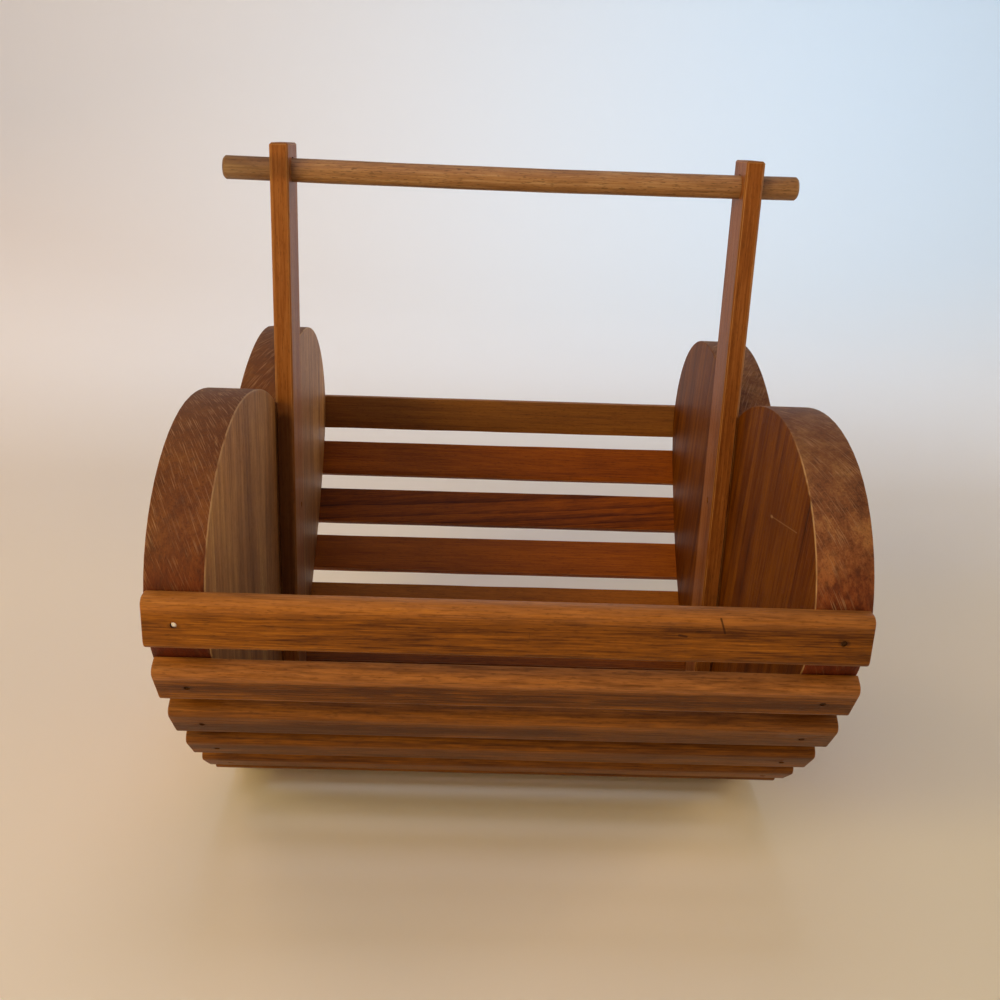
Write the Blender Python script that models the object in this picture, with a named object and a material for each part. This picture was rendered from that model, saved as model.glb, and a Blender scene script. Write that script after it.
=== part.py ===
"""A slatted wooden basket with heart-shaped end panels and a dowel handle.

Two thick end panels stand apart along X. Slats run between them round the
front, the tip and the rear, and are nailed to the panels' edges. A flat
upright is nailed to the inner face of each panel below its cleft, and a round
dowel goes through the tops of both uprights as the handle. X runs along the
slats, Y from front to rear and Z up. The origin lies on the ground under the
middle of the lowest slat.
"""

import math

import bmesh
import bpy
from mathutils import Matrix

# Fit between wooden pieces that touch, and how far a cut runs past a surface
CLEARANCE = 0.0003
OVERRUN = 0.002

# End panels: a heart whose lobes fall in round arcs to the cleft between them
# and in quarter ellipses to the waist, over a pair of curved flanks
PANEL_THICKNESS = 0.019
LOBE_WIDTH = 0.1352
LOBE_RISE = 0.0565
VALLEY_RADIUS = 0.108
CLEFT_RADIUS = 0.0015
BODY_DEPTH = 0.1195
FLANK_PULL = 0.0238
TIP_PULL = 0.0637

# Slats, which end flush with the panels' outer faces
SLAT_LENGTH = 0.233
SLAT_WIDTH = 0.018
SLAT_THICKNESS = 0.006
SLAT_ROUNDING = 0.0028
FIRST_SLAT_DROP = 0.0003
SLATS_PER_SIDE = 7

# Uprights of the handle: they rise from a little above the panels' tips
UPRIGHT_WIDTH = 0.021
UPRIGHT_THICKNESS = 0.0072
UPRIGHT_RISE = 0.1435
UPRIGHT_FOOT_GAP = 0.009
UPRIGHT_EASING = 0.0006

# Round dowel, which stands out past the uprights, a little further on the left
DOWEL_DIAMETER = 0.0093
DOWEL_LEFT_OVERHANG = 0.0202
DOWEL_RIGHT_OVERHANG = 0.0166
DOWEL_DROP = 0.0103
DOWEL_EASING = 0.0009

# Nails
NAIL_HEAD_DIAMETER = 0.0019
NAIL_HEAD_HEIGHT = 0.0007
NAIL_SHANK_DIAMETER = 0.0012
NAIL_POINT_LENGTH = 0.002
NAIL_SET = 0.0004
SLAT_NAIL_LENGTH = 0.025
UPRIGHT_NAIL_LENGTH = 0.019
DOWEL_BRAD_LENGTH = 0.019

# Where a slat's nail stands in the panel, from its inner face
NAIL_PLACE_SHARE = 0.45

# Upright nails by side: along the upright's width from its middle, and down
# from the waist to the upper nail. The lower nail is this far above the foot.
LEFT_NAIL_OFFSET = 0.005
LEFT_NAIL_DROP = 0.0107
RIGHT_NAIL_OFFSET = -0.001
RIGHT_NAIL_DROP = 0.0008
LOWER_NAIL_HEIGHT = 0.036

# Smoothness of the curves, as counts
VALLEY_STEPS = 12
LOBE_STEPS = 14
FLANK_STEPS = 26
CLEFT_STEPS = 6
ROUNDING_STEPS = 4
DOWEL_SIDES = 32
NAIL_SIDES = 12
STATION_SAMPLES = 400

# Heights and places that follow from the sizes
TIP_HEIGHT = SLAT_THICKNESS + CLEARANCE
WAIST_HEIGHT = TIP_HEIGHT + BODY_DEPTH
LOBE_REACH = LOBE_WIDTH / 2
PANEL_INNER_X = SLAT_LENGTH / 2 - PANEL_THICKNESS
UPRIGHT_OUTER_X = PANEL_INNER_X - CLEARANCE
UPRIGHT_CENTRE_X = UPRIGHT_OUTER_X - UPRIGHT_THICKNESS / 2
UPRIGHT_TOP = WAIST_HEIGHT + UPRIGHT_RISE
UPRIGHT_FOOT = TIP_HEIGHT + UPRIGHT_FOOT_GAP
DOWEL_HEIGHT = UPRIGHT_TOP - DOWEL_DROP
SLAT_NAIL_X = PANEL_INNER_X + NAIL_PLACE_SHARE * PANEL_THICKNESS
LOWER_NAIL_Z = UPRIGHT_FOOT + LOWER_NAIL_HEIGHT
DOWEL_LEFT_END = -UPRIGHT_OUTER_X - DOWEL_LEFT_OVERHANG
DOWEL_RIGHT_END = UPRIGHT_OUTER_X + DOWEL_RIGHT_OVERHANG

SIDES = (("left", -1), ("right", 1))
SHARP_ANGLE = math.radians(35)


# Scene and materials


def clear_scene():
    for item in list(bpy.data.objects):
        bpy.data.objects.remove(item)


def linear(channel):
    """One sRGB channel, 0 to 255, as a linear value."""
    value = channel / 255
    if value <= 0.04045:
        return value / 12.92
    return ((value + 0.055) / 1.055) ** 2.4


def make_material(name, srgb, roughness, metallic):
    material = bpy.data.materials.new(name)
    material.use_nodes = True
    shader = material.node_tree.nodes["Principled BSDF"]
    shader.inputs["Base Color"].default_value = (*(linear(c) for c in srgb), 1)
    shader.inputs["Roughness"].default_value = roughness
    shader.inputs["Metallic"].default_value = metallic
    return material


# Mesh helpers


def finish_mesh(shape, name):
    """Write a bmesh to a new mesh, faces outward and round parts smooth."""
    bmesh.ops.recalc_face_normals(shape, faces=shape.faces)
    mesh = bpy.data.meshes.new(name)
    shape.to_mesh(mesh)
    shape.free()
    mesh.shade_smooth()
    mesh.set_sharp_from_angle(angle=SHARP_ANGLE)
    return mesh


def place(name, mesh, material, matrix=None):
    """Show a mesh as one named piece."""
    piece = bpy.data.objects.new(name, mesh)
    if matrix is not None:
        piece.matrix_world = matrix
    if not mesh.materials:
        mesh.materials.append(material)
    bpy.context.collection.objects.link(piece)
    return piece


def prism(shape, outline, low, high):
    """Extrude a closed outline of (y, z) points along X."""
    ring = [shape.verts.new((low, y, z)) for y, z in outline]
    face = shape.faces.new(ring)
    grown = bmesh.ops.extrude_face_region(shape, geom=[face])
    moved = [v for v in grown["geom"] if isinstance(v, bmesh.types.BMVert)]
    bmesh.ops.translate(shape, verts=moved, vec=(high - low, 0, 0))


def lathe(shape, profile, sides, matrix):
    """Turn a profile of (radius, z) points round Z and set it in place."""
    chain = [shape.verts.new((radius, 0, z)) for radius, z in profile]
    edges = [shape.edges.new(pair) for pair in zip(chain, chain[1:])]
    before = set(shape.verts) - set(chain)
    bmesh.ops.spin(
        shape,
        geom=chain + edges,
        axis=(0, 0, 1),
        cent=(0, 0, 0),
        angle=math.tau,
        steps=sides,
        use_merge=True,
    )
    turned = [v for v in shape.verts if v not in before]
    on_axis = [v for v in turned if abs(v.co.x) + abs(v.co.y) < CLEARANCE / 100]
    bmesh.ops.remove_doubles(shape, verts=on_axis, dist=CLEARANCE / 100)
    turned = [v for v in shape.verts if v not in before]
    bmesh.ops.transform(shape, matrix=matrix, verts=turned)


def cut(mesh, cutter_mesh, name):
    """The mesh less the closed bodies of the cutter mesh."""
    target = bpy.data.objects.new(name, mesh)
    cutter = bpy.data.objects.new(name + "_cutter", cutter_mesh)
    for item in (target, cutter):
        bpy.context.collection.objects.link(item)
    boolean = target.modifiers.new("Holes", "BOOLEAN")
    boolean.operation = "DIFFERENCE"
    boolean.solver = "EXACT"
    boolean.object = cutter
    graph = bpy.context.evaluated_depsgraph_get()
    result = bpy.data.meshes.new_from_object(target.evaluated_get(graph))
    for item in (target, cutter):
        bpy.data.objects.remove(item)
    result.shade_smooth()
    result.set_sharp_from_angle(angle=SHARP_ANGLE)
    return result


# Nails


def nail_profile(length, grow=0.0):
    """A nail's side from its head's top, at zero, down to its point."""
    head = NAIL_HEAD_DIAMETER / 2 + grow
    shank = NAIL_SHANK_DIAMETER / 2 + grow
    under_head = -NAIL_HEAD_HEIGHT - grow
    return [
        (0, NAIL_SET + OVERRUN if grow else 0),
        (head, NAIL_SET + OVERRUN if grow else 0),
        (head, under_head),
        (shank, under_head),
        (shank, -length + NAIL_POINT_LENGTH),
        (0, -length - grow),
    ]


def add_nail_hole(shape, length, matrix):
    lathe(shape, nail_profile(length, CLEARANCE), NAIL_SIDES, matrix)


# The heart outline


def ellipse_arc(centre, reach, rise, start, end, steps):
    """Points on an ellipse about (y, z) centre, from start to end in radians."""
    points = []
    for step in range(steps + 1):
        angle = start + (end - start) * step / steps
        y = centre[0] + reach * math.cos(angle)
        z = centre[1] + rise * math.sin(angle)
        points.append((y, z))
    return points


def arc(centre, radius, start, end, steps):
    """Points on a circle about (y, z) centre, from start to end in radians."""
    return ellipse_arc(centre, radius, radius, start, end, steps)


def flank_point(t):
    """A point on the rear flank, from the waist at t 0 to the tip at t 1."""
    handles = (
        (LOBE_WIDTH, WAIST_HEIGHT),
        (LOBE_WIDTH, WAIST_HEIGHT - FLANK_PULL),
        (TIP_PULL, TIP_HEIGHT),
        (0, TIP_HEIGHT),
    )
    weights = ((1 - t) ** 3, 3 * t * (1 - t) ** 2, 3 * t * t * (1 - t), t**3)
    y = sum(w * h[0] for w, h in zip(weights, handles))
    z = sum(w * h[1] for w, h in zip(weights, handles))
    return y, z


def rear_outline():
    """The rear half of the heart, from the cleft's floor to the tip."""
    valley_height = WAIST_HEIGHT + LOBE_RISE - VALLEY_RADIUS
    cleft_rise = math.sqrt((VALLEY_RADIUS + CLEFT_RADIUS) ** 2 - LOBE_REACH**2)
    meeting = math.atan2(cleft_rise, LOBE_REACH)
    valley = arc(
        (LOBE_REACH, valley_height), VALLEY_RADIUS, math.pi - meeting, math.pi / 2, VALLEY_STEPS
    )
    lobe = ellipse_arc(
        (LOBE_REACH, WAIST_HEIGHT), LOBE_REACH, LOBE_RISE, math.pi / 2, 0, LOBE_STEPS
    )
    floor = arc(
        (0, valley_height + cleft_rise), CLEFT_RADIUS, -math.pi / 2, -meeting, CLEFT_STEPS
    )
    flank = [flank_point(step / FLANK_STEPS) for step in range(FLANK_STEPS + 1)]
    return floor[:-1] + valley[:-1] + lobe[:-1] + flank


def heart_outline():
    rear = rear_outline()
    front = [(-y, z) for y, z in reversed(rear[1:-1])]
    return rear + front


# Where the slats stand


def slat_stations():
    """Each slat's contact point and outward direction on the rear flank.

    The slats are spaced evenly along the flank, so that the one after the
    last of a side would lie under the tip.
    """
    samples = [flank_point(i / STATION_SAMPLES) for i in range(STATION_SAMPLES + 1)]
    lengths = [0.0]
    for a, b in zip(samples, samples[1:]):
        lengths.append(lengths[-1] + math.dist(a, b))
    pitch = (lengths[-1] - FIRST_SLAT_DROP) / SLATS_PER_SIDE
    stations = []
    for number in range(SLATS_PER_SIDE):
        along = FIRST_SLAT_DROP + number * pitch
        i = next(k for k in range(STATION_SAMPLES) if lengths[k + 1] >= along)
        share = (along - lengths[i]) / (lengths[i + 1] - lengths[i])
        (y0, z0), (y1, z1) = samples[i], samples[i + 1]
        span = math.dist((y0, z0), (y1, z1))
        point = (y0 + share * (y1 - y0), z0 + share * (z1 - z0))
        outward = (-(z1 - z0) / span, (y1 - y0) / span)
        stations.append((point, outward))
    return stations


def slat_matrix(point, outward):
    """Local Z points out of the flank and local zero is the slat's inner face."""
    turn = Matrix.Rotation(math.atan2(-outward[0], outward[1]), 4, "X")
    y = point[0] + CLEARANCE * outward[0]
    z = point[1] + CLEARANCE * outward[1]
    return Matrix.Translation((0, y, z)) @ turn


def slat_places():
    """Name and place of every slat, from the top of each side to the tip."""
    places = []
    for number, (point, outward) in enumerate(slat_stations(), start=1):
        places.append((f"slat_rear_{number}", slat_matrix(point, outward)))
        point = (-point[0], point[1])
        outward = (-outward[0], outward[1])
        places.append((f"slat_front_{number}", slat_matrix(point, outward)))
    places.append(("slat_bottom", slat_matrix((0, TIP_HEIGHT), (0, -1))))
    return places


def slat_nail_places():
    """Name and place of each slat nail's head top, with local Z out of the slat."""
    top = SLAT_THICKNESS - NAIL_SET
    return [
        (f"{slat}_nail_{side_name}", matrix @ Matrix.Translation((side * SLAT_NAIL_X, 0, top)))
        for slat, matrix in slat_places()
        for side_name, side in SIDES
    ]


# Pieces


def slat_mesh():
    """A flat bar with its two outer long edges rounded and its nail holes."""
    half = SLAT_WIDTH / 2
    corner_y = half - SLAT_ROUNDING
    corner_z = SLAT_THICKNESS - SLAT_ROUNDING
    right = ellipse_arc(
        (corner_y, corner_z), SLAT_ROUNDING, SLAT_ROUNDING, 0, math.pi / 2, ROUNDING_STEPS
    )
    left = [(-y, z) for y, z in reversed(right)]
    outline = [(-half, 0), (half, 0)] + right + left
    shape = bmesh.new()
    prism(shape, outline, -SLAT_LENGTH / 2, SLAT_LENGTH / 2)
    solid = finish_mesh(shape, "slat")
    holes = bmesh.new()
    for _, side in SIDES:
        top = Matrix.Translation((side * SLAT_NAIL_X, 0, SLAT_THICKNESS - NAIL_SET))
        add_nail_hole(holes, SLAT_NAIL_LENGTH, top)
    return cut(solid, finish_mesh(holes, "slat_holes"), "slat")


def make_slats(wood):
    mesh = slat_mesh()
    for name, matrix in slat_places():
        place(name, mesh, wood, matrix)


def upright_nail_places(side):
    """The upper and the lower nail of one upright, with local Z towards the middle."""
    offset, drop = LEFT_NAIL_OFFSET, LEFT_NAIL_DROP
    if side > 0:
        offset, drop = RIGHT_NAIL_OFFSET, RIGHT_NAIL_DROP
    head_x = UPRIGHT_CENTRE_X - UPRIGHT_THICKNESS / 2 + NAIL_SET
    turn = Matrix.Rotation(-side * math.pi / 2, 4, "Y")
    spots = ((offset, WAIST_HEIGHT - drop), (0, LOWER_NAIL_Z))
    return [Matrix.Translation((side * head_x, y, z)) @ turn for y, z in spots]


def brad_place(side):
    """The brad that goes down through an upright's top and the dowel."""
    return Matrix.Translation((side * UPRIGHT_CENTRE_X, 0, UPRIGHT_TOP - NAIL_SET))


def make_panels(wood):
    outline = heart_outline()
    for side_name, side in SIDES:
        shape = bmesh.new()
        low, high = sorted((side * PANEL_INNER_X, side * SLAT_LENGTH / 2))
        prism(shape, outline, low, high)
        solid = finish_mesh(shape, "panel_" + side_name)
        holes = bmesh.new()
        for _, matrix in slat_nail_places():
            if matrix.translation.x * side > 0:
                add_nail_hole(holes, SLAT_NAIL_LENGTH, matrix)
        for matrix in upright_nail_places(side):
            add_nail_hole(holes, UPRIGHT_NAIL_LENGTH, matrix)
        cutter = finish_mesh(holes, "panel_holes_" + side_name)
        place("panel_" + side_name, cut(solid, cutter, "panel_" + side_name), wood)


def make_uprights(wood):
    half_width = UPRIGHT_WIDTH / 2
    corners = ((-half_width, UPRIGHT_FOOT), (half_width, UPRIGHT_FOOT))
    outline = [*corners, *((y, UPRIGHT_TOP) for y, _ in reversed(corners))]
    for side_name, side in SIDES:
        shape = bmesh.new()
        centre = side * UPRIGHT_CENTRE_X
        prism(shape, outline, centre - UPRIGHT_THICKNESS / 2, centre + UPRIGHT_THICKNESS / 2)
        bmesh.ops.bevel(
            shape,
            geom=shape.edges[:],
            offset=UPRIGHT_EASING,
            affect="EDGES",
            segments=1,
            profile=0.5,
            material=-1,
        )
        solid = finish_mesh(shape, "upright_" + side_name)
        holes = bmesh.new()
        for matrix in upright_nail_places(side):
            add_nail_hole(holes, UPRIGHT_NAIL_LENGTH, matrix)
        reach = UPRIGHT_THICKNESS / 2 + OVERRUN
        radius = DOWEL_DIAMETER / 2 + CLEARANCE
        bore = [(0, -reach), (radius, -reach), (radius, reach), (0, reach)]
        across = Matrix.Rotation(math.pi / 2, 4, "Y")
        where = Matrix.Translation((centre, 0, DOWEL_HEIGHT))
        lathe(holes, bore, DOWEL_SIDES, where @ across)
        cutter = finish_mesh(holes, "upright_holes_" + side_name)
        bored = cut(solid, cutter, "upright_" + side_name)
        brad_hole = bmesh.new()
        add_nail_hole(brad_hole, DOWEL_BRAD_LENGTH, brad_place(side))
        cutter = finish_mesh(brad_hole, "brad_hole_" + side_name)
        place("upright_" + side_name, cut(bored, cutter, "upright_" + side_name), wood)


def make_dowel(wood):
    radius = DOWEL_DIAMETER / 2
    eased = radius - DOWEL_EASING
    left, right = DOWEL_LEFT_END, DOWEL_RIGHT_END
    profile = [(0, left), (eased, left), (radius, left + DOWEL_EASING)]
    profile += [(radius, right - DOWEL_EASING), (eased, right), (0, right)]
    shape = bmesh.new()
    lie_down = Matrix.Rotation(math.pi / 2, 4, "Y")
    where = Matrix.Translation((0, 0, DOWEL_HEIGHT))
    lathe(shape, profile, DOWEL_SIDES, where @ lie_down)
    solid = finish_mesh(shape, "handle_dowel")
    holes = bmesh.new()
    for _, side in SIDES:
        add_nail_hole(holes, DOWEL_BRAD_LENGTH, brad_place(side))
    cutter = finish_mesh(holes, "dowel_holes")
    place("handle_dowel", cut(solid, cutter, "handle_dowel"), wood)


def nail_mesh(name, length):
    shape = bmesh.new()
    lathe(shape, nail_profile(length), NAIL_SIDES, Matrix())
    return finish_mesh(shape, name)


def make_nails(steel):
    slat_nail = nail_mesh("slat_nail", SLAT_NAIL_LENGTH)
    for name, matrix in slat_nail_places():
        place(name, slat_nail, steel, matrix)
    upright_nail = nail_mesh("upright_nail", UPRIGHT_NAIL_LENGTH)
    brad = nail_mesh("dowel_brad", DOWEL_BRAD_LENGTH)
    for side_name, side in SIDES:
        for level, matrix in zip(("upper", "lower"), upright_nail_places(side)):
            place(f"upright_{side_name}_nail_{level}", upright_nail, steel, matrix)
        place("dowel_brad_" + side_name, brad, steel, brad_place(side))


def main():
    clear_scene()
    panel_wood = make_material("panel_wood", (138, 92, 52), 0.5, 0)
    slat_wood = make_material("slat_wood", (124, 70, 34), 0.45, 0)
    handle_wood = make_material("handle_wood", (142, 84, 42), 0.45, 0)
    steel = make_material("nail_steel", (96, 90, 84), 0.4, 1)
    make_panels(panel_wood)
    make_slats(slat_wood)
    make_uprights(handle_wood)
    make_dowel(handle_wood)
    make_nails(steel)


main()
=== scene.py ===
"""A slatted wooden basket with heart-shaped ends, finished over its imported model.

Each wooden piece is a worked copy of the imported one: its arrises are eased, its
length is a little uneven as hand-cut stock is, and it carries the directions of
its own board, so that the grain runs along every slat and up every panel.
"""

import math

import bmesh
import bpy
from mathutils import Matrix, Vector, noise


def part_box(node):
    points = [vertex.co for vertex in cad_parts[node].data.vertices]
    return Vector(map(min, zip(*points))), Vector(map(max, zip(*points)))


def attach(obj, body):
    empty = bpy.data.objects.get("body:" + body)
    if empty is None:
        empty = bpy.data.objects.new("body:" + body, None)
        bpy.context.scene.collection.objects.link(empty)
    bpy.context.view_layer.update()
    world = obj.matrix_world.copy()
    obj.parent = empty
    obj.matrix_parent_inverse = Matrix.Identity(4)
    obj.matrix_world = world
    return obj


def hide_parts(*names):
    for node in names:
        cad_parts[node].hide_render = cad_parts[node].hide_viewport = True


bl_info = {
    "name": "Slatted Heart Basket",
    "version": (1, 0, 0),
    "blender": (4, 5, 0),
    "location": "View3D > Sidebar > Basket",
    "description": "Finishes a slatted wooden basket with heart-shaped ends",
    "category": "Object",
}

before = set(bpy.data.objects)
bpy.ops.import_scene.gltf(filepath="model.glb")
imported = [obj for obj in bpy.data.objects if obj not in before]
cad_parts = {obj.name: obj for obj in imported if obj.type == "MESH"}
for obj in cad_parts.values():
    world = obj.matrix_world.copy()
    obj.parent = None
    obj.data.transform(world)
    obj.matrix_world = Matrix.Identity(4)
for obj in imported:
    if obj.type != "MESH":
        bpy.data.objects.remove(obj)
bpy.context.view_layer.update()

SIDES = ("left", "right")
SLATS = [f"slat_{row}_{number}" for row in ("front", "rear") for number in range(1, 8)]
SLATS.append("slat_bottom")

# The heart's own sizes: how high its top and its waist are, and half its depth
HEART_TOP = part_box("panel_left")[1][2]
HEART_WAIST = sum(corner[2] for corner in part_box("slat_rear_1")) / 2
HEART_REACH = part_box("panel_left")[1][1]

# How close two vertices are merged or count as level, how flat two faces are joined,
# and how sharply faces turn at an arris
MERGE = 1e-6
LEVEL = MERGE * 10
FLAT_ANGLE = math.radians(0.6)
SHARP_ANGLE = math.radians(35)

# Edges longer than these run along a slat or an upright
SLAT_ARRIS = 0.01
UPRIGHT_ARRIS = 0.003

# No part of a nail's hole is further from the nail's axis than the first length,
# or from its head than the second
NAIL_HOLE = 0.0016
HOLE_MARGIN = 0.00045

# Stands for the offset of a nail where a piece has none in its face
FAR = Vector((1, 1, 0))

# How far each slat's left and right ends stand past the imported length
END_TRIMS = {
    "slat_front_1": (-0.0003, -0.0012),
    "slat_front_2": (0.0001, 0.0002),
    "slat_front_3": (0.0001, 0.0006),
    "slat_front_4": (-0.0004, 0.0002),
    "slat_front_5": (-0.0006, -0.0003),
}

# How far the upper and lower edges of a hand-sawn slat stand off their places:
# upper left, upper right, lower left and lower right
EDGE_TRIMS = {
    "slat_rear_1": (-0.0013, -0.0005, -0.0013, -0.0004),
    "slat_rear_2": (0.0007, 0.0016, 0, 0.0003),
    "slat_rear_3": (0.0007, 0.0016, -0.0003, 0),
    "slat_rear_4": (0.0007, 0.0017, -0.0004, 0),
    "slat_rear_5": (0.0004, 0.0012, 0, 0),
}

# How pale the stain is at a piece's two ends (left and right, or foot and top), how much
# its growth rings show, how far its stain leans to red, and how strongly its fibres stand
# out. These were matched to how each piece looks in its light, so some also paint shade:
# slat_front_1 darkens towards its right end, away from the lamps, slat_front_6 is darkened
# where it faces down, and the red darkens and warms the rear slats' inner faces and the
# right board's faces
TRAITS = {
    "slat_front_1": (0.05, -0.75, 0.5, 0, 1.6),
    "slat_front_2": (-0.9, -1.05, 0.6, 0, 1.5),
    "slat_front_3": (-0.8, -1.0, 0.9, 0, 1.3),
    "slat_front_4": (-0.65, -0.85, 1, 0, 1.3),
    "slat_front_5": (-0.45, -0.65, 0.8, 0, 1.3),
    "slat_front_6": (-0.8, -0.8, 0.5, 0, 1),
    "slat_rear_1": (0.6, 0.6, 0.6, 0, 1),
    "slat_rear_2": (0.35, 0.35, 0.4, 1, 1),
    "slat_rear_3": (-0.15, -0.15, 3, 1, 1.2),
    "slat_rear_4": (0.75, 0.75, 0.5, 1, 1),
    "slat_rear_5": (1.0, 1.0, 0.8, 0.5, 1),
    "slat_rear_6": (0, 0, 0.8, 0.8, 1),
    "slat_rear_7": (0, 0, 0.8, 0.8, 1),
    "panel_left": (-0.1, -0.1, 1, 0, 1),
    "panel_right": (0.3, 0.3, 1, 1, 1.5),
    "upright_left": (0.1, 0.2, 1, 0, 1.3),
    "upright_right": (-0.1, -0.2, 1, 0, 1.3),
    "handle_dowel": (0, 0, 1, 0, 1.6),
}
PLAIN_TRAITS = (0, 0, 1, 0, 1)

# Where the painted highlight on the upper part of a slat starts, where it is strongest (both
# from minus one at the lower edge to one at the upper edge) and how strong it is there; it
# stands for the light that the slat's rounded upper edge catches
PAINTED_SHEEN = {
    "slat_front_1": (0.25, 0.85, 0.34),
    "slat_front_2": (0.3, 0.62, 0.36),
    "slat_front_3": (0.3, 0.9, 0.12),
}
NO_PAINTED_SHEEN = (0, 1, 0)

# How far a slat's colour is mixed towards grey
GREYED = {"slat_rear_1": 0.2}

# How many degrees a piece's grain runs off its length
GRAIN_TURNS = {"slat_rear_3": 5, "panel_right": 12}

# Small marks that use has left, and painted shadows among them: start, end, half width and strength
SLAT_NICKS = (
    ((0.0658, -0.1414, 0.1328), (0.0675, -0.1415, 0.1279), 0.0005, 0.8),
    ((0.0530, -0.1416, 0.1268), (0.0553, -0.1416, 0.1264), 0.0006, 0.7),
    ((0.0582, -0.1416, 0.1281), (0.0629, -0.1415, 0.1286), 0.0003, 0.7),
    ((0.1048, -0.1414, 0.1263), (0.1068, -0.1414, 0.1256), 0.0014, 0.45),
)
UPRIGHT_MARKS_AND_SHADOW = (
    ((0.09, -0.0034, 0.2684), (0.09, -0.0012, 0.2519), 0.0004, 0.8),
    ((0.09, -0.0001, 0.1285), (0.09, -0.0029, 0.1229), 0.0009, 0.5),
    ((-0.0972, -0.0105, 0.2600), (-0.09, -0.0105, 0.2600), 0.0065, 0.3),
    # A painted shadow: the left front lobe shades the lower front of the left upright
    ((-0.0942, -0.0105, 0.1570), (-0.0937, -0.0105, 0.0700), 0.0055, 0.6),
)
DOWEL_STAINS = (
    ((-0.125, 0, 0.2597), (-0.1, 0, 0.2597), 0.011, 0.5),
    ((0.1, 0, 0.2597), (0.125, 0, 0.2597), 0.011, 0.2),
)
# Painted shade down each crease where a panel's inner face meets the front edge of its upright
PANEL_CREASE_SHADOWS = (
    ((0.0975, -0.0112, 0.2050), (0.0975, -0.0112, 0.0500), 0.0014, 0.6),
    ((-0.0975, -0.0112, 0.2050), (-0.0975, -0.0112, 0.0500), 0.0010, 0.6),
)
PANEL_SCRATCHES = (
    ((0.0975, -0.0740, 0.1440), (0.0975, -0.0760, 0.1444), 0.0008, 0.55),
    ((0.0975, -0.0760, 0.1444), (0.0975, -0.1066, 0.1496), 0.00025, 0.35),
)

# Settings that many nodes share
TIMES = {"operation": "MULTIPLY"}
TIMES_PLUS = {"operation": "MULTIPLY_ADD"}
LESS = {"operation": "SUBTRACT"}
RISE = {"interpolation_type": "SMOOTHSTEP"}

# The Mix node's sockets: the share, the colour under and the colour over, and the
# colour that it gives
SHARE, UNDER, OVER = 0, 6, 7
MIXED = 2

# Patterns in the wood: blots to the metre along the grain, across it and through
# it, then their detail, roughness and shift. Fibres are drawn 0.6 mm wide and
# pores 0.4 mm, coarser than real ones, so that they show.
FIBRE_PITCH = (1700, 1700)
STREAK_PITCH = (650, 650)
BANDS = ((7, 150, 150), 1, 0.5, 5.7)
MOTTLE = ((110, 260, 260), 2, 0.6, 9.2)
BLOTCHES = ((16, 42, 42), 3, 0.55, 7.3)
FLECKS = ((90, 1100, 1100), 2, 0.6, 6.6)
PORES = ((380, 2400, 2400), 1, 0.5, 11.7)
WEAR_PATCHES = ((55, 160, 160), 2, 0.6, 5.9)
RAISED_FIBRES = ((40, 1500, 1500), 3, 0.6, 1.9)
RIM_BLOTS = ((260, 420, 420), 3, 0.7, 4.4)
RIM_STREAKS = ((30, 420, 420), 2, 0.6, 8.8)

# The same on a rim, with its thickness first and then the way along it
SCRATCH_LINES = ((2300, 95, 1), 1, 0.5)
SCRATCH_PATCHES = ((90, 90, 1), 2, 0.5, 2.3)

# Where a pattern starts to show, and where it shows in full
RIM_SPAN = (0.9, 0.3)
RIM_BLOT_SPAN = (-0.03, 0.2)
SCRATCH_SPAN = (0.02, 0.2)
SCRATCH_PATCH_SPAN = (-0.3, 0.1)
PORE_SPAN = (0.06, 0.22)
WEAR_SPAN = (-0.25, 0.05)
NAIL_STAIN_AND_SHADE_SPAN = (0.0015, 0.0009)

# A ring wave's radians to the unit, how sharp and how common late wood is, how much
# a piece's tone counts, and the full part of a mark's half width
WAVE_RADIANS = 20
LATE_SHARPNESS = 2.5
LATE_WOOD = 0.28
TONE_WEIGHT = 0.35
MARK_CORE = 0.3

# How much the flecks break up the painted highlight on a slat, the blots darken a rim and a
# rim's lower part is spared by the scratches
FLECK_CONTRAST = 2.5
RIM_BLOT_STRENGTH = 0.7
LOW_SCRATCHES = -0.2

# What fibres and end grain add to the roughness, how deep pores are beside fibres,
# and how far a nail's stain creeps along the pores
FIBRE_ROUGHNESS = 0.25
END_ROUGHNESS = 0.15
PORE_DEPTH = -0.6
PORE_CREEP = 0.0004

# Spots of grime to the metre on a nail head, and how rough they make it
GRIME_SPOTS = 1800
GRIME_ROUGHNESS = 0.3

# A nail head swells in this many steps, each this many domes further in
HEAD_STEPS = 2
HEAD_INSET = 1.6

# How squarely a flat face looks along its axis, and a rim's faces look away from X
SQUARE = 0.999
RIM_FACING = 0.6

# Where in the log each kind of piece starts
PANEL_LOG = 20
UPRIGHT_LOG = 30
DOWEL_LOG = 40

# How far along the log the next place is, how far off the log's middle the places
# lie in two directions, and how fast these change from place to place
LOG_STEP = 0.37
LOG_REACH = (0.011, 0.013)
LOG_PACE = (2.1, 3.7)

# Rows of noise from one piece to the next, and from one direction to the next
PIECE_ROWS = 3.7
DIRECTION_ROWS = 5.0

ACROSS = Vector((1, 0, 0))
BACK = Vector((0, 1, 0))
UP = Vector((0, 0, 1))


# Helpers


def linear(text):
    """A hex sRGB colour as linear red, green, blue and one."""
    channels = []
    for start in (1, 3, 5):
        value = int(text[start : start + 2], 16) / 255
        if value <= 0.04045:
            channels.append(value / 12.92)
        else:
            channels.append(((value + 0.055) / 1.055) ** 2.4)
    return (*channels, 1)


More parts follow.
